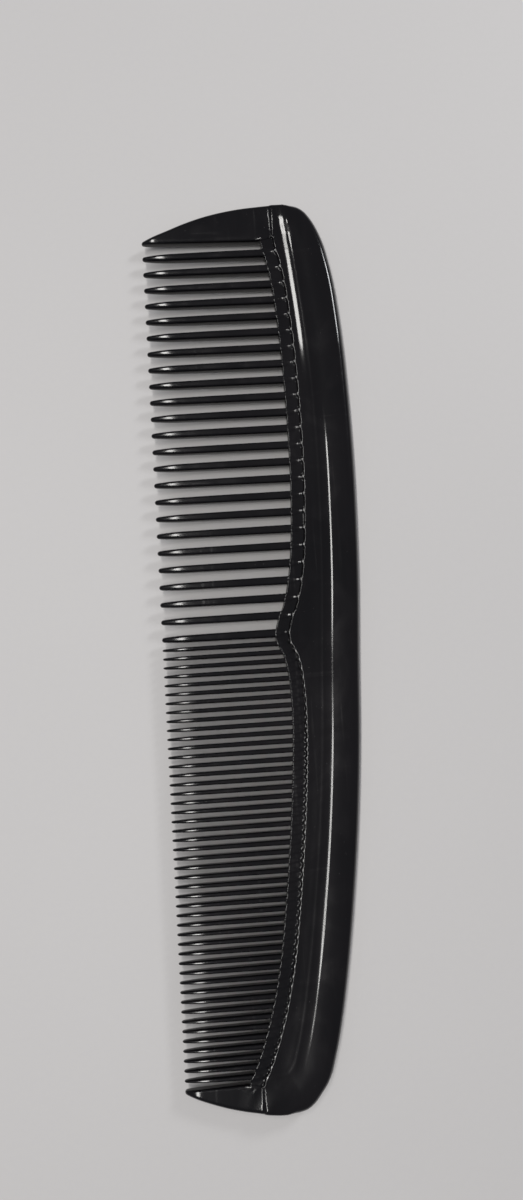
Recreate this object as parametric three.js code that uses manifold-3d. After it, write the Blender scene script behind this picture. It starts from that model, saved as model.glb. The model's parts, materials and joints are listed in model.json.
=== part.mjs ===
// A dressing comb lying flat: wide teeth at the +Y end, close teeth at the -Y end.
// X runs from the tooth tips to the back, Y along the comb, Z through its thickness.
import * as THREE from 'three';
import { mergeVertices } from 'three/addons/utils/BufferGeometryUtils.js';
import Module from 'manifold-3d';

const wasm = await Module();
wasm.setup();

// Sizes in mm. "across" is measured from the line of the tooth tips towards the back,
// "along" from the start of the wide teeth towards the close ones.
const COMB_WIDTH = 47.1;
const COMB_START = -11.1;
const COMB_END = 195.6;
const RAIL_THICKNESS = 5.0;
const BED_THICKNESS = 3.6;

// Width and thickness of a tooth at its root, at its neck and just behind its tip.
const WIDE = { name: 'wide_tooth', pitch: 4.0, gaps: 24, firstGap: -1.0, perBlock: 1,
  root: [2.0, 3.1], neck: [1.56, 2.4], tip: [0.9, 1.3] };
const CLOSE = { name: 'close_teeth', pitch: WIDE.pitch / 2, gaps: 48, firstGap: 94.4, perBlock: 2,
  root: [1.26, 2.9], neck: [0.96, 2.2], tip: [0.5, 1.1] };
const NECK_AT = 6.0;
const TIP_AT = 0.5;
const TIP_END_SHARE = 0.45;
const GUARD_STATIONS = [0, TIP_AT, 2.5, NECK_AT, 10, 15, 20, 25];
const GUARD_TIP_WIDTH = 0.4;
const SEAT = 1.0;

// The back edge and the two ends, as knots of smooth curves.
const BACK_KNOTS = [
  [-7.6, 41.0], [-3.5, 43.05], [0.5, 44.1], [5, 45.05], [10, 45.75], [20, 46.5], [30, 46.9],
  [45, COMB_WIDTH],
  [60, 46.9], [80, 46.05], [100, 44.6], [120, 43.15], [140, 41.0], [160, 38.05], [175, 35.25], [185, 32.7],
  [190, 30.7],
];
const WIDE_CORNER = [[COMB_START, 34.7], [-10.8, 36.9], [-10.2, 38.5], [-9.1, 39.9]];
const CLOSE_CORNER = [[192.1, 29.1], [193.8, 27.6], [194.9, 26.0], [195.4, 24.1], [COMB_END, 21.3]];
const WIDE_END_KNOTS = [
  [0, -2.9], [1, -3.4], [5, -5.35], [10, -7.4], [15, -9.0], [20, -10.1], [25, -10.8], [30, COMB_START],
];
const CLOSE_END_KNOTS = [
  [0, 189.4], [1, 190.2], [3, 191.1], [6, 192.5], [11, 194.05], [16, 195.05], [20.6, COMB_END],
];

// The gaps end this far from the back edge, further where wide teeth change to close ones
// and further again towards the close end.
const ROOT_DEPTH = 15.2;
const CHANGE = { at: 93.2, depth: 4.9, wideReach: 9.2, closeReach: 6.3 };
const END_DROP = { from: 160, depth: 2.6, reach: 30 };

// The rail along the back: its width, its inner side at the ends, and half its section.
const RAIL_WIDTH = 8.4;
const RAIL_ROW_SPACING = 6;
const RAIL_WIDE_END = { until: 1, across: 34.0, slope: 0.152 };
const RAIL_CLOSE_END = { from: 190, across: 22.3, slope: -0.3 };
const RAIL_PROFILE = [[0, 1.8], [0.25, 2.4], [0.4, 2.5], [0.75, 2.5], [0.87, 2.25], [0.96, 1.6], [1, 0.7]];
// Shares of half width and half height at which a tooth's section is cut off at its corners.
const CORNER_CUT = { width: 0.55, height: 0.62 };

const BLACK_PLASTIC = { color: 0x141416, roughness: 0.25, metalness: 0 };

// Moves across, along and height above the middle plane into the part's frame.
const place = (across, along, height) => new THREE.Vector3(
  across - COMB_WIDTH / 2, (COMB_START + COMB_END) / 2 - along, height + RAIL_THICKNESS / 2);

// A smooth curve through knots, read at a position between the first and the last of them.
function curveThrough(knots) {
  return (position) => {
    const after = Math.max(1, knots.findIndex((knot) => knot[0] >= position));
    const [a, b] = [knots[after - 1], knots[after]];
    const before = knots[Math.max(after - 2, 0)];
    const beyond = knots[Math.min(after + 1, knots.length - 1)];
    const span = b[0] - a[0];
    const slopeA = (b[1] - before[1]) / (b[0] - before[0]);
    const slopeB = (beyond[1] - a[1]) / (beyond[0] - a[0]);
    const t = (position - a[0]) / span;
    const swing = t * (1 - t) * ((1 - t) * slopeA - t * slopeB) * span;
    return a[1] + (b[1] - a[1]) * THREE.MathUtils.smoothstep(t, 0, 1) + swing;
  };
}

const backEdge = curveThrough(BACK_KNOTS);
const wideEnd = curveThrough(WIDE_END_KNOTS);
const closeEnd = curveThrough(CLOSE_END_KNOTS);

// How far across a gap between two teeth ends.
function rootLine(along) {
  const reach = along < CHANGE.at ? CHANGE.wideReach : CHANGE.closeReach;
  const change = CHANGE.depth * Math.exp(-Math.abs(along - CHANGE.at) / reach);
  const drop = END_DROP.depth * Math.max(0, (along - END_DROP.from) / END_DROP.reach) ** 2;
  return backEdge(along) - ROOT_DEPTH - change - drop;
}

function railInner(along) {
  if (along < RAIL_WIDE_END.until) {
    return RAIL_WIDE_END.across + RAIL_WIDE_END.slope * (along - COMB_START);
  }
  if (along > RAIL_CLOSE_END.from) {
    return RAIL_CLOSE_END.across + RAIL_CLOSE_END.slope * (along - RAIL_CLOSE_END.from);
  }
  return backEdge(along) - RAIL_WIDTH;
}

// Extrudes a section in as many steps as there are stations, then moves each ring's points
// to where its station puts them.
function drawAlong(section, stations, pointAt) {
  const steps = stations.length - 1;
  const options = { depth: steps, steps, bevelEnabled: false };
  const geometry = new THREE.ExtrudeGeometry(new THREE.Shape(section), options);
  const position = geometry.attributes.position;
  for (let i = 0; i < position.count; i += 1) {
    const ring = stations[Math.round(position.getZ(i))];
    const point = pointAt(ring, position.getX(i), position.getY(i));
    position.setXYZ(i, point.x, point.y, point.z);
  }
  geometry.computeVertexNormals();
  return geometry;
}

// An eight-sided section, a unit wide each way from its middle.
const TOOTH_SECTION = [
  [-1, -CORNER_CUT.height], [-CORNER_CUT.width, -1], [CORNER_CUT.width, -1], [1, -CORNER_CUT.height],
  [1, CORNER_CUT.height], [CORNER_CUT.width, 1], [-CORNER_CUT.width, 1], [-1, CORNER_CUT.height],
].map(([x, y]) => new THREE.Vector2(x, y));

// A bar with the eight-sided section. Each station is how far across it is, its two sides
// and its thickness.
function bar(stations) {
  return drawAlong(TOOTH_SECTION, stations, (station, sideways, up) => {
    const share = (sideways + 1) / 2;
    const side = THREE.MathUtils.lerp(station.low, station.high, share);
    return new THREE.Vector3(station.across, side, up * station.thickness / 2);
  });
}

// One straight tooth, centred on its own length line.
function straightTooth(kind, offset, length) {
  const station = (across, [width, thickness], share = 1) => ({
    across, low: offset - width * share / 2, high: offset + width * share / 2, thickness: thickness * share,
  });
  return bar([
    station(0, kind.tip, TIP_END_SHARE), station(TIP_AT, kind.tip), station(NECK_AT, kind.neck),
    station(length - SEAT, kind.root), station(length, kind.root),
  ]);
}

// An end tooth: straight beside its gap, and following the comb's end on its other side.
function guardTooth(kind, gapSide, endCurve, length) {
  const outwards = Math.sign(endCurve(0) - gapSide);
  const lean = (kind.root[0] - kind.tip[0]) / 2;
  return bar([...GUARD_STATIONS.filter((across) => across < length - SEAT), length].map((across) => {
    const inner = gapSide + outwards * lean * (1 - across / length);
    const outer = endCurve(across);
    const reach = Math.max(Math.abs(outer - inner), GUARD_TIP_WIDTH);
    const [low, high] = [-inner, -inner - outwards * reach].sort((a, b) => a - b);
    const thickness = across < NECK_AT
      ? THREE.MathUtils.mapLinear(across, 0, NECK_AT, kind.tip[1] * TIP_END_SHARE, kind.neck[1])
      : THREE.MathUtils.mapLinear(across, NECK_AT, length, kind.neck[1], kind.root[1]);
    return { across, low, high, thickness };
  }));
}

function toSolid(geometry) {
  geometry.deleteAttribute('normal');
  geometry.deleteAttribute('uv');
  const merged = mergeVertices(geometry);
  return new wasm.Manifold(new wasm.Mesh({
    numProp: 3,
    vertProperties: new Float32Array(merged.attributes.position.array),
    triVerts: new Uint32Array(merged.index.array),
  }));
}

function toGeometry(solid) {
  const mesh = solid.getMesh();
  const geometry = new THREE.BufferGeometry();
  geometry.setAttribute('position', new THREE.BufferAttribute(mesh.vertProperties, 3));
  geometry.setIndex(new THREE.BufferAttribute(mesh.triVerts, 1));
  geometry.computeVertexNormals();
  return geometry;
}

// Neighbouring close teeth moulded as one block, joined behind the gap between them.
function toothBlock(block) {
  const solids = block.teeth.map((tooth) => toSolid(
    straightTooth(block.kind, block.middle - (tooth.from + tooth.to) / 2, block.face)));
  if (block.teeth.length === 1) return toGeometry(solids[0]);
  const width = block.to - block.from;
  const depth = block.face - block.innerEnd;
  const joint = new THREE.BoxGeometry(depth, width, block.kind.root[1] * CORNER_CUT.height);
  joint.translate(block.face - depth / 2, 0, 0);
  return toGeometry(solids.reduce((whole, solid) => whole.add(solid), toSolid(joint)));
}

function gapsOf(kind) {
  return Array.from({ length: kind.gaps }, (_, i) => {
    const along = kind.firstGap + i * kind.pitch;
    const half = (kind.pitch - kind.root[0]) / 2;
    return { kind, from: along - half, to: along + half, end: rootLine(along) };
  });
}

// The teeth between the gaps, gathered into the blocks they are moulded in.
function toothBlocks(gaps) {
  const blocks = [];
  for (let i = 0; i < gaps.length - 1;) {
    const kind = gaps[i].kind;
    const count = Math.min(kind.perBlock, gaps.length - 1 - i);
    const around = gaps.slice(i, i + count + 1);
    const teeth = around.slice(1).map((gap, k) => ({ from: around[k].to, to: gap.from }));
    const [from, to] = [teeth[0].from, teeth[count - 1].to];
    const face = Math.max(...around.map((gap) => gap.end)) + SEAT;
    blocks.push({ kind, teeth, from, to, middle: (from + to) / 2, face, innerEnd: around[1].end,
      before: around[0], after: around[count] });
    i += count;
  }
  return blocks;
}

// Places along the comb where the rail's rows stand, closer together round the corners.
function railRows(from, to) {
  const count = Math.round((to - from) / RAIL_ROW_SPACING);
  return Array.from({ length: count + 1 }, (_, i) => from + (to - from) * i / count);
}

const straightRows = [
  ...railRows(BACK_KNOTS[0][0], CHANGE.at),
  ...railRows(CHANGE.at, RAIL_CLOSE_END.from).slice(1),
];
const rows = [...WIDE_CORNER, ...straightRows.map((along) => [along, backEdge(along)]), ...CLOSE_CORNER]
  .map(([along, outer]) => ({ along, outer, inner: railInner(along) }));

function rail() {
  const upper = RAIL_PROFILE.map(([share, height]) => new THREE.Vector2(share, height));
  const lower = RAIL_PROFILE.map(([share, height]) => new THREE.Vector2(share, -height)).reverse();
  return drawAlong([...lower, ...upper], rows, (row, share, height) => place(
    THREE.MathUtils.lerp(row.inner, row.outer, share), row.along, height));
}

// The flat bed the teeth stand on, from the given tooth side round to the rail's inner side.
function bed(toothSide, from, to) {
  const within = rows.filter((row) => row.along >= from && row.along <= to);
  const railSide = within.map((row) => [row.inner, row.along]);
  const outline = [...toothSide, ...railSide.reverse()].map(([across, along]) => {
    const point = place(across, along, 0);
    return new THREE.Vector2(point.x, point.y);
  });
  const options = { depth: BED_THICKNESS, bevelEnabled: false };
  const geometry = new THREE.ExtrudeGeometry(new THREE.Shape(outline), options);
  return geometry.translate(0, 0, (RAIL_THICKNESS - BED_THICKNESS) / 2);
}

// Steps along the tooth side of a bed: into each seat and out again to the gap after it.
const seatSteps = (block) => [
  [block.before.end, block.before.to], [block.face, block.before.to],
  [block.face, block.after.from], [block.after.end, block.after.from],
];

function piece(name, geometry, position = new THREE.Vector3()) {
  const material = new THREE.MeshStandardMaterial(BLACK_PLASTIC);
  const mesh = new THREE.Mesh(geometry, material);
  mesh.name = name;
  mesh.position.copy(position);
  return mesh;
}

const gaps = [...gapsOf(WIDE), ...gapsOf(CLOSE)];
const blocks = toothBlocks(gaps);
const [firstGap, lastGap] = [gaps[0], gaps[gaps.length - 1]];
const changeBlock = blocks.find((block) => block.after.kind === CLOSE);
const guardFace = { wide: firstGap.end + SEAT, close: lastGap.end + SEAT };

const wideBlocks = blocks.slice(0, blocks.indexOf(changeBlock));
const closeBlocks = blocks.slice(blocks.indexOf(changeBlock) + 1);
const wideSide = [
  [guardFace.wide, COMB_START], [guardFace.wide, firstGap.from], [firstGap.end, firstGap.from],
  ...wideBlocks.flatMap(seatSteps),
  [changeBlock.before.end, changeBlock.before.to], [changeBlock.face, changeBlock.before.to],
  [changeBlock.face, CHANGE.at],
];
const closeSide = [
  [changeBlock.face, CHANGE.at], [changeBlock.face, changeBlock.after.from],
  [changeBlock.after.end, changeBlock.after.from],
  ...closeBlocks.flatMap(seatSteps),
  [lastGap.end, lastGap.to], [guardFace.close, lastGap.to], [guardFace.close, closeEnd(guardFace.close)],
  [(guardFace.close + RAIL_CLOSE_END.across) / 2, closeEnd((guardFace.close + RAIL_CLOSE_END.across) / 2)],
];

const comb = new THREE.Group();
comb.add(piece('back_rail', rail()));
comb.add(piece('bed_wide', bed(wideSide, COMB_START, CHANGE.at)));
comb.add(piece('bed_close', bed(closeSide, CHANGE.at, COMB_END)));
comb.add(piece('guard_wide', guardTooth(WIDE, firstGap.from, wideEnd, guardFace.wide), place(0, 0, 0)));
comb.add(piece('guard_close', guardTooth(CLOSE, lastGap.to, closeEnd, guardFace.close), place(0, 0, 0)));
for (const kind of [WIDE, CLOSE]) {
  blocks.filter((block) => block.kind === kind).forEach((block, i) => {
    const name = `${kind.name}_${String(i + 1).padStart(2, '0')}`;
    comb.add(piece(name, toothBlock(block), place(0, block.middle, 0)));
  });
}

export default comb;
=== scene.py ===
"""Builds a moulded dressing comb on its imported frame, and the table and lights to show it on."""
import json
import math

import bmesh
import bpy
import numpy as np
from mathutils import Euler, Matrix, Vector

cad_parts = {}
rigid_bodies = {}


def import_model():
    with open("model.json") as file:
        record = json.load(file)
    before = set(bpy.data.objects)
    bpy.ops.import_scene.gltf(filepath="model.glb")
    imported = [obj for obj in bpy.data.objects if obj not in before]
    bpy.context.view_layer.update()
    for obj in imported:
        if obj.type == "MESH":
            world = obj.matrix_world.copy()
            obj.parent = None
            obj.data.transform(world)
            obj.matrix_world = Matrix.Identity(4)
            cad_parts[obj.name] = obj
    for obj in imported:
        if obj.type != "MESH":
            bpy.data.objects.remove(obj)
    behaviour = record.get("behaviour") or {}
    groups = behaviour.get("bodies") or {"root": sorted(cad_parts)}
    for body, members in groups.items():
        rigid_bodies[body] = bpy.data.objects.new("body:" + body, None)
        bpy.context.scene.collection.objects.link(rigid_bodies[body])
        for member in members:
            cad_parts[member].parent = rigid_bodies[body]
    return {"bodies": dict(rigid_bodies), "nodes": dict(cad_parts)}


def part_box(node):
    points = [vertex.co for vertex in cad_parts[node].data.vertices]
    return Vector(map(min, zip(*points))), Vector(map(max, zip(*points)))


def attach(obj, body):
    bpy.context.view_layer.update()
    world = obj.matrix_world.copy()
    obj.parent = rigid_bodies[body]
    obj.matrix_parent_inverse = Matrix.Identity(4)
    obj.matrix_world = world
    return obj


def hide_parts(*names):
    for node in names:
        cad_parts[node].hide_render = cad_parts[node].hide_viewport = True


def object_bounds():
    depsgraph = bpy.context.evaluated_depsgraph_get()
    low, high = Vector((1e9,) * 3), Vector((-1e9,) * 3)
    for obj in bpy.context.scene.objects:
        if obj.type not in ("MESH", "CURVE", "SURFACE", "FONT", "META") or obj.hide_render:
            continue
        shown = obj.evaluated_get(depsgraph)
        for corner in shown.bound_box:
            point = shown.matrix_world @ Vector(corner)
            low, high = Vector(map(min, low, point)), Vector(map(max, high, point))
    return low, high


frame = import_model()

bl_info = {
    "name": "Dressing comb",
    "version": (1, 0, 0),
    "blender": (4, 5, 0),
    "location": "View3D > Sidebar > Comb",
    "description": "Makes a moulded comb with wide and close teeth on its frame",
    "category": "Object",
}

MM = 0.001
CLOSE_BY = 2e-6
FRAME_BOX = [[float(value) for value in corner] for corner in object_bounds()]
LOW, HIGH = (np.array(corner) for corner in FRAME_BOX)
MIDDLE = (LOW[2] + HIGH[2]) / 2
TIP_LINE = LOW[0]
GUARD_BLUNTING = {"amount": 0.4 * MM, "reach": 7 * MM}
BODY = next(iter(frame["bodies"]))
WIDE_NODES = sorted(name for name in frame["nodes"] if name.startswith("wide_tooth"))
CLOSE_NODES = sorted(name for name in frame["nodes"] if name.startswith("close_teeth"))
BODY_NODES = sorted(set(frame["nodes"]) - set(WIDE_NODES) - set(CLOSE_NODES))


# ---------------------------------------------------------------- reading the frame

def node_points(name):
    """The corners of a frame node's mesh as an array."""
    mesh = frame["nodes"][name].data
    points = np.empty(len(mesh.vertices) * 3)
    mesh.vertices.foreach_get("co", points)
    return points.reshape(-1, 3)


def tooth_size(name):
    """How wide and how thick a node's single tooth is at the root."""
    low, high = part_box(name)
    return high[1] - low[1], high[2] - low[2]


WIDE_WIDTH, WIDE_THICKNESS = tooth_size(WIDE_NODES[0])
CLOSE_WIDTH, CLOSE_THICKNESS = tooth_size(CLOSE_NODES[-1])


def tooth_lines(names, width):
    """Each tooth's middle along the comb and its length to its root, from the wide end on."""
    lines = []
    for name in names:
        low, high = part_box(name)
        middles = {round(high[1] - width / 2, 7), round(low[1] + width / 2, 7)}
        lines += [(middle, high[0] - low[0]) for middle in sorted(middles, reverse=True)]
    return np.array(lines)


WIDE_LINES = tooth_lines(WIDE_NODES, WIDE_WIDTH)
CLOSE_LINES = tooth_lines(CLOSE_NODES, CLOSE_WIDTH)


def smooth_curve(knots, values, at):
    """Reads a smooth curve through values at rising knots."""
    slopes = np.gradient(values, knots)
    span = np.clip(np.searchsorted(knots, at) - 1, 0, len(knots) - 2)
    width = knots[span + 1] - knots[span]
    t = np.clip((at - knots[span]) / width, 0, 1)
    rise = values[span + 1] - values[span]
    leaving = slopes[span] * width - rise
    arriving = slopes[span + 1] * width - rise
    bend = t * (1 - t) * ((1 - t) * leaving - t * arriving)
    return values[span] + rise * t + bend


def outer_side(name, sign):
    """The far side of an end tooth, as points from its tip to its root."""
    points = node_points(name)
    stations = np.unique(points[:, 0].round(6))
    sides = [sign * (sign * points[abs(points[:, 0] - x) < CLOSE_BY][:, 1]).max() for x in stations]
    return np.column_stack([stations, sides])


def rail_rows():
    """The rail's rows from the wide end to the close end: along, inner side, back edge."""
    points = node_points("back_rail")
    rows = []
    for along in np.unique(points[:, 1].round(6))[::-1]:
        across = points[abs(points[:, 1] - along) < CLOSE_BY][:, 0]
        rows.append((along, across.min(), across.max()))
    return np.array(rows)


def smooth_path(points, spacing):
    """A smooth path through points, in steps of about the given spacing."""
    lengths = np.r_[0, np.cumsum(np.hypot(*np.diff(points, axis=0).T))]
    count = int(lengths[-1] / spacing) + 1
    at = np.linspace(0, lengths[-1], count)
    return np.column_stack([smooth_curve(lengths, points[:, axis], at) for axis in (0, 1)])


def ease(value):
    """Rises smoothly from 0 to 1 as value does."""
    t = np.clip(value, 0, 1)
    return t * t * (3 - 2 * t)


def fade_in(value, start, length):
    """Rises smoothly from 0 to 1 over a length past a start."""
    return ease((value - start) / length)


def rounded(distance, radius, fullness=2.0):
    """Share of the full height at a distance in from a rounded edge."""
    out = 1 - np.clip(distance / radius, 0, 1)
    return np.clip(1 - out ** fullness, 0, 1) ** (1 / fullness)


def blend(a, b, share):
    """From a to b as share goes from 0 to 1."""
    return a + (b - a) * share


def distance_to(path, points):
    """How far points are from a path of straight steps."""
    nearest = np.full(len(points), np.inf)
    for start, end in zip(path[:-1], path[1:]):
        step = end - start
        offset = points - start
        t = np.clip(offset @ step / (step @ step), 0, 1)
        nearest = np.minimum(nearest, np.hypot(*(offset - t[:, None] * step).T))
    return nearest


class Plan:
    """The comb seen from above, read from the frame: its outline, gaps and tooth lines."""

    def __init__(self):
        rows = rail_rows()
        wide_end = outer_side("guard_wide", 1)
        close_end = outer_side("guard_close", -1)
        for end, sign in ((wide_end, 1), (close_end, -1)):
            near_tip = 1 - fade_in(end[:, 0], TIP_LINE, GUARD_BLUNTING["reach"])
            end[:, 1] += sign * GUARD_BLUNTING["amount"] * near_tip
        back = rows[:, [2, 0]]
        self.rail_inner_end = rows[0, 1]
        self.wide_inner = outer_side("guard_wide", -1)
        self.close_inner = outer_side("guard_close", 1)
        points = np.vstack([wide_end, back, close_end[::-1]])
        self.outline = smooth_path(points, 0.5 * MM)
        self.rail = smooth_path(back, 0.5 * MM)
        lines = [(middle, WIDE_WIDTH / 2) for middle, _ in WIDE_LINES]
        lines += [(middle, CLOSE_WIDTH / 2) for middle, _ in CLOSE_LINES]
        first = self.wide_inner[-1, 1] + WIDE_WIDTH / 2
        last = self.close_inner[-1, 1] - CLOSE_WIDTH / 2
        self.change_place = WIDE_LINES[-1, 0]
        self.axes = np.array([(first, WIDE_WIDTH / 2), *lines, (last, CLOSE_WIDTH / 2)])
        above = self.axes[:-1, 0] - self.axes[:-1, 1]
        below = self.axes[1:, 0] + self.axes[1:, 1]
        self.gaps = np.column_stack([above, below])
        self.roots = self.gap_ends()
        along, _, back_edge = rows[len(rows) // 4]
        self.rail_depth = back_edge - self.root_line(along)

    def gap_ends(self):
        """Middle of each gap along the comb and where it ends, in rising order along."""
        beds = np.vstack([node_points("bed_wide"), node_points("bed_close")])
        ends = []
        for above, below in self.gaps:
            edge = beds[np.abs(beds[:, 1:2] - (above, below)).min(axis=1) < 5 * CLOSE_BY]
            if len(edge):
                ends.append(((above + below) / 2, edge[:, 0].min()))
        return np.array(ends[::-1])

    def root_line(self, along):
        """How far across the gaps end, at places along the comb."""
        return smooth_curve(self.roots[:, 0], self.roots[:, 1], np.clip(along, *self.roots[[0, -1], 0]))


PLAN = Plan()
WIDE_CORNER = np.array([PLAN.root_line(PLAN.gaps[0, 0]), PLAN.gaps[0, 0]])
CLOSE_CORNER = np.array([PLAN.root_line(PLAN.gaps[-1, 1]), PLAN.gaps[-1, 1]])


# ---------------------------------------------------------------- sizes and colours

def length(name, description, default):
    """A length in metres that a user may change."""
    return bpy.props.FloatProperty(
        name=name, description=description, default=default, unit="LENGTH", precision=5)


class CombShape(bpy.types.PropertyGroup):
    """Sizes of the comb's sections that the frame leaves open."""

    neck: length("Neck", "Distance behind the tip where a tooth stops tapering quickly", 7.0 * MM)
    wide_neck_width: length("Wide neck width", "Width of a wide tooth at its neck", 1.75 * MM)
    wide_tip_width: length("Wide tip width", "Width of a wide tooth at its tip", 1.05 * MM)
    close_neck_width: length("Close neck width", "Width of a close tooth at its neck", 1.04 * MM)
    close_tip_width: length("Close tip width", "Width of a close tooth at its tip", 0.58 * MM)
    neck_thickness: length("Neck thickness", "Thickness of a tooth at its neck", 2.6 * MM)
    tip_thickness: length("Tip thickness", "Thickness of a tooth at its tip", 1.1 * MM)
    tip_round: length("Tip rounding", "How far back the end of a tip is rounded", 0.55 * MM)
    fullness: bpy.props.FloatProperty(
        name="Fullness", description="How square a tooth's section is, from 2 for an oval", default=3.4)
    bed_half: length("Bed half thickness", "Half the thickness of the bed behind the teeth", 1.88 * MM)
    pocket_reach: length("Pocket reach", "How far each gap runs on into the bed as a pocket", 3.5 * MM)
    pocket_floor: length("Pocket floor", "Half thickness left at the bottom of a pocket", 1.3 * MM)
    gap_end_round: length("Gap end rounding", "Rounding where a gap ends", 0.15 * MM)


class CombFinish(bpy.types.PropertyGroup):
    """Colour and gloss of the plastic."""

    plastic: bpy.props.FloatVectorProperty(
        name="Plastic", description="Colour of the plastic", default=(0.0042, 0.0038, 0.0045),
        subtype="COLOR")
    haze: bpy.props.FloatVectorProperty(
        name="Haze", description="Colour of the faint bloom on the plastic",
        default=(0.011, 0.0095, 0.0105), subtype="COLOR")
    gloss: bpy.props.FloatProperty(
        name="Roughness", description="Roughness of clean plastic", default=0.115, subtype="FACTOR")


class TableLight(bpy.types.PropertyGroup):
    """The table the comb lies on and the light over it."""

    table: bpy.props.FloatVectorProperty(
        name="Table", description="Colour of the table", default=(0.665, 0.652, 0.647), subtype="COLOR")
    tube_power: bpy.props.FloatProperty(
        name="Tube power", description="Power of the long lamp", default=15.5, subtype="POWER")
    window_power: bpy.props.FloatProperty(
        name="Window power", description="Power of the window", default=1.1, subtype="POWER")
    daylight: bpy.props.FloatProperty(
        name="Daylight", description="Strength of the light all round", default=0.14)


# ---------------------------------------------------------------- node trees

class Number:
    """A number in a node tree; arithmetic on it adds Math nodes."""

    def __init__(self, graph, socket):
        self.graph = graph
        self.socket = socket

    def math(self, operation, *others, swapped=False):
        """This number and others joined by one Math node."""
        values = [*others, self] if swapped else [self, *others]
        node = self.graph.node("ShaderNodeMath", {"operation": operation}, dict(enumerate(values)))
        return Number(self.graph, node.outputs[0])

    def __add__(self, other):
        return self.math("ADD", other)

    def __sub__(self, other):
        return self.math("SUBTRACT", other)

    def __mul__(self, other):
        return self.math("MULTIPLY", other)

    def __truediv__(self, other):
        return self.math("DIVIDE", other)

    def __pow__(self, other):
        return self.math("POWER", other)

    def __radd__(self, other):
        return self.math("ADD", other, swapped=True)

    def __rsub__(self, other):
        return self.math("SUBTRACT", other, swapped=True)

    def __rtruediv__(self, other):
        return self.math("DIVIDE", other, swapped=True)


class Graph:
    """A node tree that nodes are added to in one way."""

    def __init__(self, tree):
        self.tree = tree

    def node(self, kind, settings=None, sockets=None):
        """Adds a node, sets it up, then fills or links its sockets."""
        node = self.tree.nodes.new(kind)
        for name, value in (settings or {}).items():
            setattr(node, name, value)
        for name, value in (sockets or {}).items():
            if isinstance(value, Number):
                value = value.socket
            if isinstance(value, bpy.types.NodeSocket):
                self.tree.links.new(value, node.inputs[name])
            else:
                node.inputs[name].default_value = value
        return node

    def number(self, kind, settings=None, sockets=None, output=0):
        """Adds a node and gives one of its outputs as a number."""
        return Number(self, self.node(kind, settings, sockets).outputs[output])


# ---------------------------------------------------------------- shape of the body

# Distances of a column's points from its two ends, in mm: close together where the surface turns.
TOOTH_SIDE = MM * np.array([
    0, .012, .05, .11, .19, .28, .5, 1.1, 1.85, 2.1, 2.25, 2.4, 2.55, 2.7, 2.83, 2.94, 3.05, 3.16,
    3.27, 3.38, 3.52, 3.75, 4.1])
BACK_SIDE = MM * np.array([
    0, .02, .08, .18, .32, .5, .75, 1.05, 1.4, 1.9, 2.6, 3.4, 4.4, 5.4, 6.0, 6.15, 6.3, 6.45, 6.6, 6.8,
    7.3, 7.9, 8.05, 8.2, 8.35, 8.5, 8.7, 9.0, 9.3, 9.6, 9.9, 10.2, 10.5, 10.9])
MIDDLE_POINTS = 3
MIDDLE_SPACING = 0.2 * MM

# Where columns stand, as shares of half a gap out from its middle and of half a tooth in from its side.
WIDE_STEPS = (0, .65, 1.0)
WIDE_TOOTH_STEPS = (.12, .35, .7, 1.0)
CLOSE_STEPS = (0, .8)
CLOSE_TOOTH_STEPS = (.12, .5, 1.0)
GUARD_COLUMNS = 34
GUARD_BUNCHING = 1.6
GUARD_TIP_ROUND = 0.5 * MM
CORNER_COLUMNS = 48
CORNER_PAST_GAP = 2 * MM


def places_from(length_now):
    """Distances along a column, bunched at both ends and even between them."""
    room = TOOTH_SIDE[-1] + BACK_SIDE[-1] + MIDDLE_POINTS * MIDDLE_SPACING
    scale = np.minimum(1.0, length_now / room)
    start = TOOTH_SIDE[-1] * scale
    stop = length_now - BACK_SIDE[-1] * scale
    between = [blend(start, stop, (i + 1) / (MIDDLE_POINTS + 1)) for i in range(MIDDLE_POINTS)]
    return np.array([*TOOTH_SIDE * scale, *between, *(length_now - BACK_SIDE[::-1] * scale)])


def along_places():
    """Where the columns between the two end teeth stand along the comb."""
    places = []
    for i, (above, below) in enumerate(PLAN.gaps):
        wide = i < len(WIDE_LINES)
        middle, half = (above + below) / 2, (above - below) / 2
        in_gap = WIDE_STEPS if wide else CLOSE_STEPS
        in_tooth = WIDE_TOOTH_STEPS if wide else CLOSE_TOOTH_STEPS
        places += [middle + side * share * half for share in in_gap for side in (-1, 1)]
        upper, lower = PLAN.axes[i, 1], PLAN.axes[i + 1, 1]
        if i:
            places += [above + share * upper for share in in_tooth]
        if i < len(PLAN.gaps) - 1:
            places += [below - share * lower for share in in_tooth]
    inside = np.unique(np.round(places, 8))[::-1]
    return inside[(inside <= PLAN.gaps[0, 0]) & (inside >= PLAN.gaps[-1, 1])]


def guard_columns(inner, corner, outline_end):
    """Columns across an end tooth, from its tip to where its gap ends."""
    t = np.linspace(0, 1, GUARD_COLUMNS) ** GUARD_BUNCHING
    across = blend(TIP_LINE, corner[0], t)
    inside = np.column_stack([across, smooth_curve(inner[:, 0], inner[:, 1], across)])
    reach = blend(TIP_LINE, outline_end[-1, 0], t)
    outside = np.column_stack([reach, smooth_curve(outline_end[:, 0], outline_end[:, 1], reach)])
    centre = (inside + outside) / 2
    narrow = rounded(across - TIP_LINE, GUARD_TIP_ROUND)[:, None]
    return centre + (inside - centre) * narrow, centre + (outside - centre) * narrow


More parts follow.
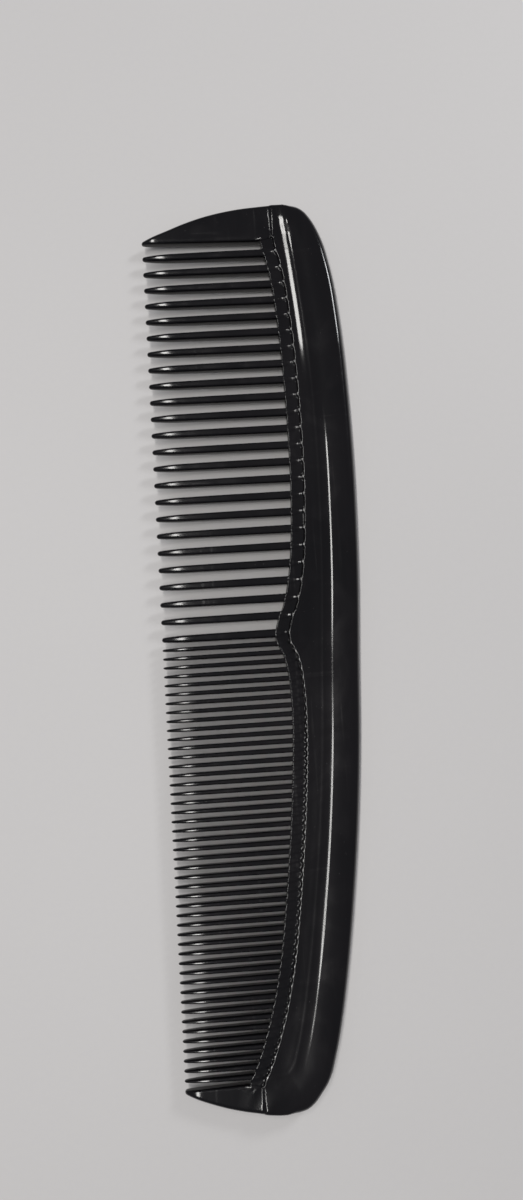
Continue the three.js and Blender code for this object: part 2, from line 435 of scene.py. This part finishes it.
def end_columns(path, corner, inner, stop):
    """Columns of one end, from its tip round to where the main columns take over."""
    split = np.argmax(path[:, 0] > corner[0] + CORNER_PAST_GAP)
    finish = np.argmin(np.hypot(*(path - stop).T))
    rim = path[split:finish + 1]
    lengths = np.r_[0, np.cumsum(np.hypot(*np.diff(rim, axis=0).T))]
    at = np.linspace(0, lengths[-1], CORNER_COLUMNS)
    round_out = np.column_stack([np.interp(at, lengths, rim[:, axis]) for axis in (0, 1)])
    round_in = np.repeat(corner[None], CORNER_COLUMNS, axis=0)
    guard_in, guard_out = guard_columns(inner, corner, path[:split + 1])
    return np.vstack([guard_in[:-1], round_in[:-1]]), np.vstack([guard_out[:-1], round_out[:-1]])


def body_columns():
    """The two ends of every column of the body, from one end tooth's tip to the other's."""
    along = along_places()
    rows = rail_rows()[::-1]
    main_in = np.column_stack([PLAN.root_line(along), along])
    main_out = np.column_stack([smooth_curve(rows[:, 0], rows[:, 2], along), along])
    wide_in, wide_out = end_columns(PLAN.outline, WIDE_CORNER, PLAN.wide_inner, main_out[0])
    close_in, close_out = end_columns(PLAN.outline[::-1], CLOSE_CORNER, PLAN.close_inner, main_out[-1])
    return np.vstack([wide_in, main_in, close_in[::-1]]), np.vstack([wide_out, main_out, close_out[::-1]])


# The end teeth: how far behind the tip they reach full thickness, and their step up to the bed.
GUARD_NECK = 4.5 * MM
GUARD_STEP = {"starts": 2.6 * MM, "length": 0.4 * MM}

# A tooth's ridge runs on into the bed: where it starts to rise, and, as shares of a pocket's reach,
# where it has risen, and where it has narrowed and to what share of its width.
RIDGE = {"rises_from": 1.6 * MM, "risen": 0.97, "narrowed": 0.85, "narrow": 0.35}
# The faint dip across each ridge at its root: its two depths, where it starts and how long it is.
RIDGE_DIP = {"root": -0.015 * MM, "beyond": 0.006 * MM, "starts": 0.2 * MM, "length": 0.7 * MM}
# The wall at the end of a pocket, as shares of its reach, starting sooner beside a ridge.
WALL = {"starts": 0.86, "sooner": 0.22, "length": 0.08}
WALL_CORNER = 0.6 * MM
RIM = {"at_end": 1.0 * MM, "at_back": 2.1 * MM, "change": 2 * MM, "fullness": 2.3}


def guard_half_thickness(shape, behind_tip, root_half, reach):
    """Half an end tooth's thickness at a distance behind its tip."""
    tip, neck = shape.tip_thickness / 2, shape.neck_thickness / 2
    towards_tip = (1 - np.clip(behind_tip / GUARD_NECK, 0, 1)) ** 3
    towards_root = np.clip((behind_tip - GUARD_NECK) / (reach - GUARD_NECK), 0, 1)
    return neck + (tip - neck) * towards_tip + (root_half - neck) * towards_root


class Step:
    """A low step along the rail: how far in from the back edge, its width, least and full height."""

    def __init__(self, at, width, low, high):
        self.at = at
        self.width = width
        self.heights = (low, high)

    def rise(self, distance, share):
        """How far the step lifts the rail at a distance in, for a share of its full height."""
        return blend(*self.heights, share) * ease((self.at + self.width / 2 - distance) / self.width)


FOOT = Step(9.95 * MM, 1.7 * MM, 0.04 * MM, 0.225 * MM)
SHOULDER = Step(8.72 * MM, 0.62 * MM, 0.045 * MM, 0.080 * MM)
LEDGE = Step(6.4 * MM, 0.42 * MM, 0.024 * MM, 0.052 * MM)
CROWN = Step(5.7 * MM, 4.6 * MM, 0.24 * MM, 0.24 * MM)

# Fades along the comb, each as where it starts and how long it is: past the first gap for WIDE_*,
# before the last gap for CLOSE_*, in from an end for RAIL_RUN_IN.
WIDE_RELIEF_FADES = (24 * MM, 14 * MM)
WIDE_LEDGE_STARTS = (40 * MM, 14 * MM)
CLOSE_LEDGE_STRONG = (15 * MM, 16 * MM)
CLOSE_LEDGE_STARTS = (0, 12 * MM)
RAIL_RUN_IN = (-4.3 * MM, 8.8 * MM)
# The ledge is weakest this far past the change of teeth, and back to full strength in half the dip.
LEDGE_DIP = {"past_change": 10 * MM, "half_length": 22 * MM}
# The foot's line at the wide end: where it starts, its length, how it bends and its shifts.
FOOT_LINE = {"starts": 3.35 * MM, "length": 34 * MM, "bend": 1.3, "start_in": 0.15 * MM,
             "finish_in": 0.25 * MM}


def from_foot_line(across, along):
    """Distance towards the teeth from the straighter line that the rail's foot takes at the wide end."""
    start = HIGH[1] - FOOT_LINE["starts"]
    finish = start - FOOT_LINE["length"]
    start_across = PLAN.rail_inner_end - FOOT_LINE["start_in"]
    finish_across = PLAN.root_line(finish) + PLAN.rail_depth - FOOT.at - FOOT_LINE["finish_in"]
    t = np.clip((start - along) / FOOT_LINE["length"], 0, 1)
    return blend(start_across, finish_across, 1 - (1 - t) ** FOOT_LINE["bend"]) - across


def rail_rise(points, from_back, from_end):
    """How far the rail stands above the bed at points a distance from the back edge and the ends."""
    across, along = points.T
    past_wide_end = PLAN.gaps[0, 0] - along
    before_close_end = along - PLAN.gaps[-1, 1]
    from_dip = np.abs(along - PLAN.change_place + LEDGE_DIP["past_change"])
    at_wide_end = 1 - fade_in(past_wide_end, *WIDE_RELIEF_FADES)
    front = blend(from_back, FOOT.at + from_foot_line(across, along), at_wide_end)
    front_rise = FOOT.rise(front, at_wide_end) + SHOULDER.rise(front, at_wide_end)
    strong = ease(from_dip / LEDGE_DIP["half_length"]) * fade_in(before_close_end, *CLOSE_LEDGE_STRONG)
    shown = fade_in(past_wide_end, *WIDE_LEDGE_STARTS) * fade_in(before_close_end, *CLOSE_LEDGE_STARTS)
    ledge_rise = LEDGE.rise(from_back, strong) * shown
    return front_rise * fade_in(from_end, *RAIL_RUN_IN) + ledge_rise + CROWN.rise(from_back, 1)


def bed_half_height(shape, into_bed, from_gap, half_width, crest):
    """Half the bed's thickness where ridges run on from the teeth with a pocket between each two."""
    reach = shape.pocket_reach
    narrowing = blend(1.0, RIDGE["narrow"], ease(into_bed / (RIDGE["narrowed"] * reach)))
    ridge_half = half_width * narrowing
    ridge = rounded(from_gap - half_width + ridge_half, ridge_half, shape.fullness)
    floor = shape.pocket_floor * rounded(into_bed, shape.gap_end_round) * (into_bed > 0)
    bed = floor + (crest - floor) * ridge * (from_gap > half_width - ridge_half)
    by_ridge = np.clip(1 - (half_width - from_gap) / (ridge_half + WALL_CORNER), 0, 1) ** 2
    wall_starts = reach * (WALL["starts"] - WALL["sooner"] * by_ridge)
    wall = 1 - (1 - np.clip((into_bed - wall_starts) / (WALL["length"] * reach), 0, 1)) ** 2
    return np.maximum(bed, blend(bed, shape.bed_half, wall * (ridge < 0.999)))


def rim_share(shape, points, from_back, from_end, into_bed):
    """Share of the full height left by the rounding of the back edge, the ends and the tips."""
    near_back = fade_in(from_end - from_back, 0, RIM["change"])
    width = blend(RIM["at_end"], RIM["at_back"], near_back)
    rim = rounded(np.minimum(from_back, from_end), width, RIM["fullness"])
    return rim * np.where(into_bed < 0, rounded(points[:, 0] - TIP_LINE, shape.tip_round), 1.0)


def body_half_height(shape, points):
    """Half the body's thickness at points seen from above."""
    across, along = points.T
    wide_half = along > 0
    in_end = (along > PLAN.gaps[0, 0]) | (along < PLAN.gaps[-1, 1])
    beyond_axis = (along > PLAN.axes[0, 0]) | (along < PLAN.axes[-1, 0])
    corner = np.where(wide_half[:, None], WIDE_CORNER, CLOSE_CORNER)
    into_bed = across - PLAN.root_line(along)
    nearest = np.abs(along[:, None] - PLAN.axes[None, :, 0]).argmin(axis=1)
    half_width = PLAN.axes[nearest, 1]
    from_gap = np.where(beyond_axis, half_width, half_width - np.abs(along - PLAN.axes[nearest, 0]))
    inner_sides = (PLAN.wide_inner, PLAN.close_inner)
    sides = [smooth_curve(side[:, 0], side[:, 1], across) for side in inner_sides]
    from_side = np.abs(along - np.where(wide_half, *sides))
    in_guard = in_end & (into_bed < 0)
    from_gap = np.where(in_guard, np.minimum(from_side, half_width), from_gap)

    wide_tooth = half_width > (WIDE_WIDTH + CLOSE_WIDTH) / 4
    root_half = np.where(wide_tooth, WIDE_THICKNESS, CLOSE_THICKNESS) / 2
    behind_tip = np.where(in_end, across - TIP_LINE, np.inf)
    crest = guard_half_thickness(shape, behind_tip, root_half, corner[:, 0] - TIP_LINE)
    past_root = np.clip((into_bed - RIDGE_DIP["starts"]) / RIDGE_DIP["length"], 0, 1)
    crest += np.where(in_end, 0, blend(RIDGE_DIP["root"], RIDGE_DIP["beyond"], past_root))
    rises_from = np.where(in_end, GUARD_STEP["starts"], RIDGE["rises_from"])
    risen = np.where(in_end, rises_from + GUARD_STEP["length"], RIDGE["risen"] * shape.pocket_reach)
    crest += (shape.bed_half - root_half) * np.clip((into_bed - rises_from) / (risen - rises_from), 0, 1)
    bed = np.where(beyond_axis, crest, bed_half_height(shape, into_bed, from_gap, half_width, crest))

    from_back = distance_to(PLAN.rail, points)
    wide_end = PLAN.outline[:np.argmax(PLAN.outline[:, 0] > PLAN.rail[0, 0])]
    close_end = PLAN.outline[::-1][:np.argmax(PLAN.outline[::-1, 0] > PLAN.rail[-1, 0])]
    from_end = np.minimum(distance_to(wide_end, points), distance_to(close_end, points))
    half = bed + rail_rise(points, from_back, from_end)
    half *= rim_share(shape, points, from_back, from_end, into_bed)

    beside_gap = rounded(from_gap, half_width, shape.fullness)
    at_corner = rounded(np.hypot(*(points - corner).T), shape.gap_end_round)
    half *= np.where(in_guard & beyond_axis, beside_gap, 1.0)
    return half * np.where(in_end & (into_bed >= 0), at_corner, 1.0)


def body_mesh(shape):
    """The body as one closed skin: both faces meet halfway through the thickness."""
    inside, outside = body_columns()
    span = outside - inside
    lengths = np.hypot(*span.T)
    places = np.array([places_from(length_now) for length_now in lengths])
    shares = places / np.maximum(lengths, 1e-9)[:, None]
    flat = inside[:, None] + span[:, None] * shares[:, :, None]
    columns, steps = flat.shape[:2]
    points = np.clip(flat.reshape(-1, 2), LOW[:2], HIGH[:2])
    half = body_half_height(shape, points).reshape(columns, steps)
    half[:, [0, -1]] = 0
    half = half.ravel()
    top = np.column_stack([points, MIDDLE + half])
    under = np.column_stack([points, MIDDLE - half])
    first = (np.arange(columns - 1)[:, None] * steps + np.arange(steps - 1)[None]).ravel()
    quads = np.column_stack([first, first + 1, first + steps + 1, first + steps])
    faces = np.vstack([quads, quads[:, ::-1] + len(points)])
    mesh = bpy.data.meshes.new("comb body")
    mesh.from_pydata(np.vstack([top, under]).tolist(), [], faces.tolist())
    return mesh


SAME_POINT = 1e-6
SHARP_ANGLE = math.radians(48)


def finish_mesh(mesh):
    """Merges doubles, turns every face outwards and shades the mesh smooth."""
    work = bmesh.new()
    work.from_mesh(mesh)
    bmesh.ops.remove_doubles(work, verts=work.verts, dist=SAME_POINT)
    bmesh.ops.dissolve_degenerate(work, edges=work.edges, dist=SAME_POINT / 10)
    bmesh.ops.recalc_face_normals(work, faces=work.faces)
    work.to_mesh(mesh)
    work.free()
    mesh.shade_smooth()
    mesh.set_sharp_from_angle(angle=SHARP_ANGLE)
    mesh.update()


# ---------------------------------------------------------------- rows of teeth

ROW_INPUTS = (
    ("Teeth", "Geometry"), ("Stations", "Int"), ("Sides", "Int"), ("Root width", "Float"),
    ("Neck width", "Float"), ("Tip width", "Float"), ("Root thickness", "Float"),
    ("Neck thickness", "Float"), ("Tip thickness", "Float"), ("Neck", "Float"),
    ("Tip rounding", "Float"), ("Fullness", "Float"), ("Overrun", "Float"), ("Plastic", "Material"),
)
STATIONS = 26
STATION_BUNCHING = 2.2
WIDE_SIDES = 41
CLOSE_SIDES = 33
OVAL = 2.0
OVAL_REACH = 2.2


def row_tree():
    """A tree that grows a tapered tooth from every point, as long as the point's reach says."""
    tree = bpy.data.node_groups.new("Row of teeth", "GeometryNodeTree")
    for name, kind in ROW_INPUTS:
        tree.interface.new_socket(name, in_out="INPUT", socket_type=f"NodeSocket{kind}")
    tree.interface.new_socket("Teeth", in_out="OUTPUT", socket_type="NodeSocketGeometry")
    graph = Graph(tree)
    given = graph.node("NodeGroupInput").outputs
    size = {name: Number(graph, given[name]) for name, kind in ROW_INPUTS if kind == "Float"}

    def shape_step(kind, sockets, settings=None):
        """Adds a Geometry Nodes step and gives the geometry that comes out of it."""
        return graph.node(kind, settings, sockets).outputs[0]

    sheet = shape_step("GeometryNodeMeshGrid", {
        "Size X": 1.0, "Size Y": 1.0, "Vertices X": given["Stations"], "Vertices Y": given["Sides"]})
    position = graph.node("GeometryNodeInputPosition").outputs[0]
    place = graph.node("ShaderNodeSeparateXYZ", None, {"Vector": position})
    for name, axis in (("along", "X"), ("around", "Y")):
        value = Number(graph, place.outputs[axis]) + 0.5
        sheet = shape_step("GeometryNodeStoreNamedAttribute", {
            "Geometry": sheet, "Name": name, "Value": value}, {"data_type": "FLOAT", "domain": "POINT"})
    nowhere = graph.node("ShaderNodeCombineXYZ", None, {"X": 0.0}).outputs[0]
    sheet = shape_step("GeometryNodeSetPosition", {"Geometry": sheet, "Position": nowhere})
    teeth = shape_step("GeometryNodeInstanceOnPoints", {"Points": given["Teeth"], "Instance": sheet})
    teeth = shape_step("GeometryNodeRealizeInstances", {"Geometry": teeth})

    def stored(name):
        return graph.number("GeometryNodeInputNamedAttribute", {"data_type": "FLOAT"}, {"Name": name})

    along, around, reach = stored("along"), stored("around"), stored("reach")
    behind_tip = reach * (along * size["Overrun"]).math("MINIMUM", 1.0) ** STATION_BUNCHING
    end = 1 - (behind_tip / size["Tip rounding"]).math("MINIMUM", 1.0)
    cap = (1 - end * end).math("MAXIMUM", 0.0) ** 0.5 * along.math("LESS_THAN", 0.9999)
    towards_tip = (1 - (behind_tip / size["Neck"]).math("MINIMUM", 1.0)) ** 2.0
    towards_root = ((behind_tip - size["Neck"]) / (reach - size["Neck"])).math("MAXIMUM", 0.0)

    def half(kind):
        tip, neck, root = (size[f"{place_name} {kind}"] for place_name in ("Tip", "Neck", "Root"))
        return (neck + (tip - neck) * towards_tip + (root - neck) * towards_root) * 0.5 * cap

    rounder = 1 - (behind_tip / (size["Neck"] * OVAL_REACH)).math("MINIMUM", 1.0)
    fullness = size["Fullness"] - (size["Fullness"] - OVAL) * rounder

    def swing(operation):
        turn = (around * (2 * math.pi)).math(operation)
        return turn.math("SIGN") * turn.math("ABSOLUTE") ** (2 / fullness)

    sideways = half("width") * swing("COSINE")
    upwards = half("thickness") * swing("SINE")
    offset = graph.node("ShaderNodeCombineXYZ", None, {"X": behind_tip, "Y": sideways, "Z": upwards})
    teeth = shape_step("GeometryNodeSetPosition", {"Geometry": teeth, "Offset": offset.outputs[0]})
    teeth = shape_step("GeometryNodeMergeByDistance", {"Geometry": teeth, "Distance": SAME_POINT})
    teeth = shape_step("GeometryNodeRealizeInstances", {"Geometry": teeth})
    teeth = shape_step("GeometryNodeSetMaterial", {"Geometry": teeth, "Material": given["Plastic"]})
    graph.node("NodeGroupOutput", None, {"Teeth": teeth})
    return tree


def teeth_mesh(name, lines, sizes):
    """Plain mesh of a row of teeth grown from the points of their tips."""
    seeds = bpy.data.meshes.new(f"{name} seeds")
    seeds.from_pydata([(TIP_LINE, middle, MIDDLE) for middle, _ in lines], [], [])
    reach = seeds.attributes.new("reach", "FLOAT", "POINT")
    reach.data.foreach_set("value", lines[:, 1].astype(np.float32))
    carrier = bpy.data.objects.new(f"{name} seeds", seeds)
    bpy.context.scene.collection.objects.link(carrier)
    modifier = carrier.modifiers.new("Row of teeth", "NODES")
    modifier.node_group = bpy.data.node_groups.get("Row of teeth") or row_tree()
    for item in modifier.node_group.interface.items_tree:
        if item.in_out == "INPUT" and item.name in sizes:
            modifier[item.identifier] = sizes[item.name]
    evaluated = carrier.evaluated_get(bpy.context.evaluated_depsgraph_get())
    mesh = bpy.data.meshes.new_from_object(evaluated)
    bpy.data.objects.remove(carrier)
    for attribute in ("reach", "along", "around"):
        if attribute in mesh.attributes:
            mesh.attributes.remove(mesh.attributes[attribute])
    return mesh


def comb_piece(name, mesh, nodes, material):
    """A finished piece of the comb that stands for nodes of the frame."""
    finish_mesh(mesh)
    mesh.name = name
    mesh.materials.clear()
    mesh.materials.append(material)
    piece = bpy.data.objects.new(name, mesh)
    bpy.context.scene.collection.objects.link(piece)
    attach(piece, BODY)
    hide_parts(*nodes)
    return piece


# ---------------------------------------------------------------- finishes

def new_material(name):
    """An empty node material and its graph."""
    material = bpy.data.materials.new(name)
    material.use_nodes = True
    material.node_tree.nodes.clear()
    return material, Graph(material.node_tree)


def gloss_plastic(finish):
    """Black moulded plastic: deep gloss, faint bloom, flow lines and fine handling scratches."""
    if "Gloss black plastic" in bpy.data.materials:
        return bpy.data.materials["Gloss black plastic"]
    material, graph = new_material("Gloss black plastic")
    coords = graph.node("ShaderNodeTexCoord").outputs["Object"]

    def noise(scale, detail=3.0, stretch=(1, 1, 1), distortion=0.0):
        vector = graph.node("ShaderNodeMapping", None, {"Vector": coords, "Scale": stretch}).outputs[0]
        return graph.number("ShaderNodeTexNoise", None, {
            "Vector": vector, "Scale": scale, "Detail": detail, "Distortion": distortion})

    def ramp(value, low, high):
        return graph.number("ShaderNodeMapRange", {"clamp": True}, {
            "Value": value, "From Min": low, "From Max": high, "To Min": 0.0, "To Max": 1.0})

    bloom = ramp(noise(38, 4.0, (1.4, 0.5, 1)), 0.42, 0.70)
    smudge = ramp(noise(95, 5.0, (1, 0.8, 1), 1.2), 0.52, 0.72)
    flow = ramp(noise(420, 2.0, (1.0, 0.035, 1.0)), 0.50, 0.72)
    scratches = ramp(noise(900, 2.0, (1.0, 0.02, 1.0)), 0.63, 0.70) * ramp(noise(60, 2.0), 0.45, 0.6)
    cross_scratches = ramp(noise(1100, 2.0, (0.03, 1.0, 1.0)), 0.66, 0.72) * ramp(noise(70, 2.0), 0.5, 0.65)
    dust = ramp(noise(2600, 1.0), 0.76, 0.83)

    share = (bloom * 0.55 + smudge * 0.25 + flow * 0.12 + dust * 0.9).math("MINIMUM", 1.0)
    colour = graph.node("ShaderNodeMix", {"data_type": "RGBA"}, {
        0: share, 6: (*finish.plastic, 1), 7: (*finish.haze, 1)}).outputs[2]
    wear = scratches * 0.07 + cross_scratches * 0.05 + dust * 0.2
    roughness = finish.gloss + bloom * 0.03 + smudge * 0.04 + wear
    ripple = noise(150, 1.0, (1.0, 0.25, 1.0))
    grain = noise(1500, 2.0)
    height = ripple * 0.9 + grain * 0.015 - scratches * 0.05 - cross_scratches * 0.05 + flow * 0.02
    bump = graph.node("ShaderNodeBump", None, {"Strength": 0.35, "Distance": 0.00006, "Height": height})
    shader = graph.node("ShaderNodeBsdfPrincipled", None, {
        "Base Color": colour, "Roughness": roughness, "IOR": 1.5, "Normal": bump.outputs[0]})
    graph.node("ShaderNodeOutputMaterial", None, {"Surface": shader.outputs[0]})
    return material


def table_top(stage):
    """Pale laminate with faint mottling and small marks."""
    material, graph = new_material("Pale table")
    coords = graph.node("ShaderNodeTexCoord").outputs["Object"]
    cloud = graph.number("ShaderNodeTexNoise", None, {"Vector": coords, "Scale": 7.0, "Detail": 3.0})
    speck = graph.number("ShaderNodeTexNoise", None, {"Vector": coords, "Scale": 700.0, "Detail": 2.0})
    light = [min(1.0, value * 1.03) for value in stage.table]
    dark = [value * 0.95 for value in stage.table]
    share = (cloud * 0.8 + speck * 0.3 - 0.05).math("MINIMUM", 1.0)
    colour = graph.node("ShaderNodeMix", {"data_type": "RGBA"}, {
        0: share, 6: (*dark, 1), 7: (*light, 1)}).outputs[2]
    bump = graph.node("ShaderNodeBump", None, {"Strength": 0.1, "Distance": 0.0001, "Height": speck})
    shader = graph.node("ShaderNodeBsdfPrincipled", None, {
        "Base Color": colour, "Roughness": 0.55, "IOR": 1.45, "Normal": bump.outputs[0]})
    graph.node("ShaderNodeOutputMaterial", None, {"Surface": shader.outputs[0]})
    return material


# ---------------------------------------------------------------- operators

class COMB_OT_body(bpy.types.Operator):
    """Makes the rail, the bed and the two end teeth as one moulded body"""

    bl_idname = "comb.body"
    bl_label = "Comb body"

    def execute(self, context):
        scene = context.scene
        material = gloss_plastic(scene.comb_finish)
        comb_piece("comb_body", body_mesh(scene.comb_shape), BODY_NODES, material)
        return {"FINISHED"}


def make_row(context, name, lines, widths, thickness, nodes, sides):
    """Makes one row of teeth from its lines and widths."""
    shape = context.scene.comb_shape
    material = gloss_plastic(context.scene.comb_finish)
    root, neck, tip = widths
    overrun = (STATIONS - 1) / (STATIONS - 2)
    mesh = teeth_mesh(name, lines, {
        "Stations": STATIONS, "Overrun": overrun, "Sides": sides,
        "Root width": root, "Neck width": neck, "Tip width": tip, "Root thickness": thickness,
        "Neck thickness": shape.neck_thickness, "Tip thickness": shape.tip_thickness,
        "Neck": shape.neck, "Tip rounding": shape.tip_round, "Fullness": shape.fullness,
        "Plastic": material})
    comb_piece(name, mesh, nodes, material)


class COMB_OT_wide_teeth(bpy.types.Operator):
    """Makes the row of wide teeth"""

    bl_idname = "comb.wide_teeth"
    bl_label = "Wide teeth"

    def execute(self, context):
        shape = context.scene.comb_shape
        widths = (WIDE_WIDTH, shape.wide_neck_width, shape.wide_tip_width)
        make_row(context, "wide_teeth", WIDE_LINES, widths, WIDE_THICKNESS, WIDE_NODES, WIDE_SIDES)
        return {"FINISHED"}


class COMB_OT_close_teeth(bpy.types.Operator):
    """Makes the row of close teeth"""

    bl_idname = "comb.close_teeth"
    bl_label = "Close teeth"

    def execute(self, context):
        shape = context.scene.comb_shape
        widths = (CLOSE_WIDTH, shape.close_neck_width, shape.close_tip_width)
        make_row(context, "close_teeth", CLOSE_LINES, widths, CLOSE_THICKNESS, CLOSE_NODES, CLOSE_SIDES)
        return {"FINISHED"}


CAMERA_PLACE = (-9.8 * MM, -17.3 * MM, 196.0 * MM)
CAMERA_TURN = (7.354, -2.314, -3.790)
CAMERA_LENS = 25.5
TABLE_REACH = 1.5
AIR_COLOUR = (0.93, 0.95, 1.07, 1)
TUBE = {"place": (-0.33, 0.05, 1.42), "aim": (0.0, 0.0, 0.0), "size": (0.15, 1.65),
        "colour": (1.0, 0.985, 0.96)}
WINDOW = {"place": (0.46, 0.41, 0.38), "aim": (0.02, 0.08, 0.0), "size": (0.14, 0.14),
          "colour": (0.97, 0.985, 1.0)}


def lamp(name, spec, power):
    """A flat rectangular lamp aimed at a point."""
    light = bpy.data.lights.new(name, "AREA")
    light.shape = "RECTANGLE"
    light.size, light.size_y = spec["size"]
    light.energy = power
    light.color = spec["colour"]
    lamp_object = bpy.data.objects.new(name, light)
    back = (Vector(spec["place"]) - Vector(spec["aim"])).normalized()
    side = Vector((0, 1, 0)).cross(back).normalized()
    lamp_object.location = spec["place"]
    lamp_object.rotation_euler = Matrix((side, back.cross(side), back)).transposed().to_euler()
    bpy.context.scene.collection.objects.link(lamp_object)


class COMB_OT_stage(bpy.types.Operator):
    """Lays the table, hangs the lights and sets up the camera"""

    bl_idname = "comb.stage"
    bl_label = "Table, light and camera"

    def execute(self, context):
        scene = context.scene
        stage = scene.table_light
        mesh = bpy.data.meshes.new("table")
        signs = ((-1, -1), (1, -1), (1, 1), (-1, 1))
        corners = [(x * TABLE_REACH, y * TABLE_REACH, LOW[2]) for x, y in signs]
        mesh.from_pydata(corners, [], [(0, 1, 2, 3)])
        mesh.materials.append(table_top(stage))
        table = bpy.data.objects.new("table", mesh)
        scene.collection.objects.link(table)

        world = bpy.data.worlds.new("Room")
        world.use_nodes = True
        world.node_tree.nodes.clear()
        room = Graph(world.node_tree)
        air = room.node("ShaderNodeBackground", None, {"Color": AIR_COLOUR, "Strength": stage.daylight})
        room.node("ShaderNodeOutputWorld", None, {"Surface": air.outputs[0]})
        scene.world = world
        lamp("Long lamp", TUBE, stage.tube_power)
        lamp("Window", WINDOW, stage.window_power)

        camera = bpy.data.cameras.new("Camera")
        camera.lens = CAMERA_LENS
        camera.sensor_width = 36.0
        camera.clip_start = 0.01
        eye = bpy.data.objects.new("Camera", camera)
        eye.location = CAMERA_PLACE
        eye.rotation_euler = Euler([math.radians(turn) for turn in CAMERA_TURN])
        scene.collection.objects.link(eye)
        scene.camera = eye
        scene.view_settings.view_transform = "Standard"
        return {"FINISHED"}


class COMB_PT_panel(bpy.types.Panel):
    """Lists the comb's pieces in the sidebar"""

    bl_label = "Dressing comb"
    bl_idname = "COMB_PT_panel"
    bl_space_type = "VIEW_3D"
    bl_region_type = "UI"
    bl_category = "Comb"

    def draw(self, context):
        for operator in OPERATORS:
            self.layout.operator(operator.bl_idname)
        for group in ("comb_shape", "comb_finish", "table_light"):
            box = self.layout.box()
            values = getattr(context.scene, group)
            for name in values.__annotations__:
                box.prop(values, name)


GROUPS = {"comb_shape": CombShape, "comb_finish": CombFinish, "table_light": TableLight}
OPERATORS = (COMB_OT_body, COMB_OT_wide_teeth, COMB_OT_close_teeth, COMB_OT_stage)


def register():
    """Registers the classes and puts the sizes and colours on the scene."""
    for name, group in GROUPS.items():
        bpy.utils.register_class(group)
        setattr(bpy.types.Scene, name, bpy.props.PointerProperty(type=group))
    for item in (*OPERATORS, COMB_PT_panel):
        bpy.utils.register_class(item)


def unregister():
    """Takes the classes and the scene's properties away again."""
    for item in (COMB_PT_panel, *reversed(OPERATORS)):
        bpy.utils.unregister_class(item)
    for name, group in GROUPS.items():
        delattr(bpy.types.Scene, name)
        bpy.utils.unregister_class(group)


def main():
    register()
    bpy.ops.comb.body()
    bpy.ops.comb.wide_teeth()
    bpy.ops.comb.close_teeth()
    bpy.ops.comb.stage()


if __name__ == "__main__":
    main()
